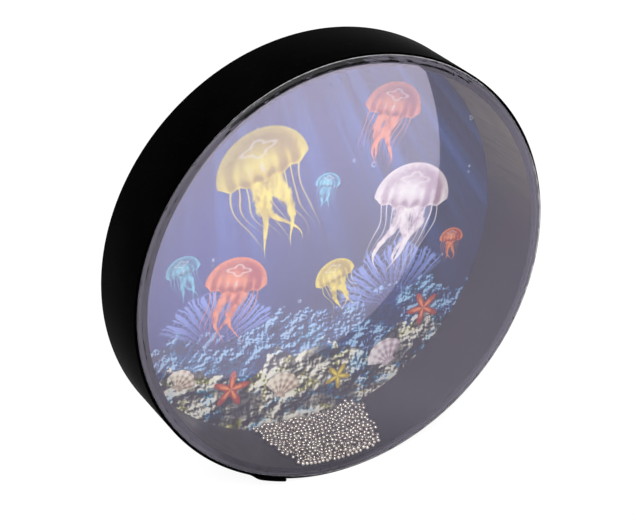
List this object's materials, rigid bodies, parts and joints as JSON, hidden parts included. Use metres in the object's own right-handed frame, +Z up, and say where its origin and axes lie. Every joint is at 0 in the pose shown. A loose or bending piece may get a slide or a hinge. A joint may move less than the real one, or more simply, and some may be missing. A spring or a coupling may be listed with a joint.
{
  "type": "ocean drum",
  "caption": "Shallow round hand drum with a clear film head, a printed film head behind it, and loose steel balls that roll inside the hoop and sound like surf.",
  "frame": {"origin": "middle of the drum: on the hoop's axis, halfway between the outer faces of the two heads", "axes": "+Y along the hoop's axis from the clear front head to the picture at the back, +Z up with the drum standing on edge, +X to the right seen from the front"},
  "size_m": [0.305, 0.054, 0.305],
  "materials": {
    "hoop": "laminated wood fibre, stained black, satin",
    "covering": "black vinyl covering with a fine cloth grain",
    "adhesive": "thin contact adhesive",
    "clear_film": "clear glossy polyester film",
    "back_film": "clear polyester film, printed behind",
    "glue": "dark glue, wet patches under the film",
    "picture": "printed underwater scene",
    "steel_balls": "polished steel"
  },
  "bodies": {
    "drum": {"shell": "hoop", "outer_wrap": "covering", "wrap_adhesive": "adhesive", "front_head": "clear_film", "front_edge_glue": "glue", "front_collar_glue": "glue", "back_head": "back_film", "back_edge_glue": "glue", "back_collar_glue": "glue", "picture_sheet": "picture"},
    "front_lane": {"beads_front": "steel_balls"},
    "mid_front_lane": {"beads_mid_front": "steel_balls"},
    "mid_back_lane": {"beads_mid_back": "steel_balls"},
    "back_lane": {"beads_back": "steel_balls"}
  },
  "joints": [
    {"name": "front_lane_roll", "type": "hinge", "parent": "drum", "child": "front_lane", "pos_m": [0, 0, 0], "axis": [0, 1, 0], "continuous": true},
    {"name": "mid_front_lane_roll", "type": "hinge", "parent": "drum", "child": "mid_front_lane", "pos_m": [0, 0, 0], "axis": [0, 1, 0], "continuous": true},
    {"name": "mid_back_lane_roll", "type": "hinge", "parent": "drum", "child": "mid_back_lane", "pos_m": [0, 0, 0], "axis": [0, 1, 0], "continuous": true},
    {"name": "back_lane_roll", "type": "hinge", "parent": "drum", "child": "back_lane", "pos_m": [0, 0, 0], "axis": [0, 1, 0], "continuous": true}
  ]
}
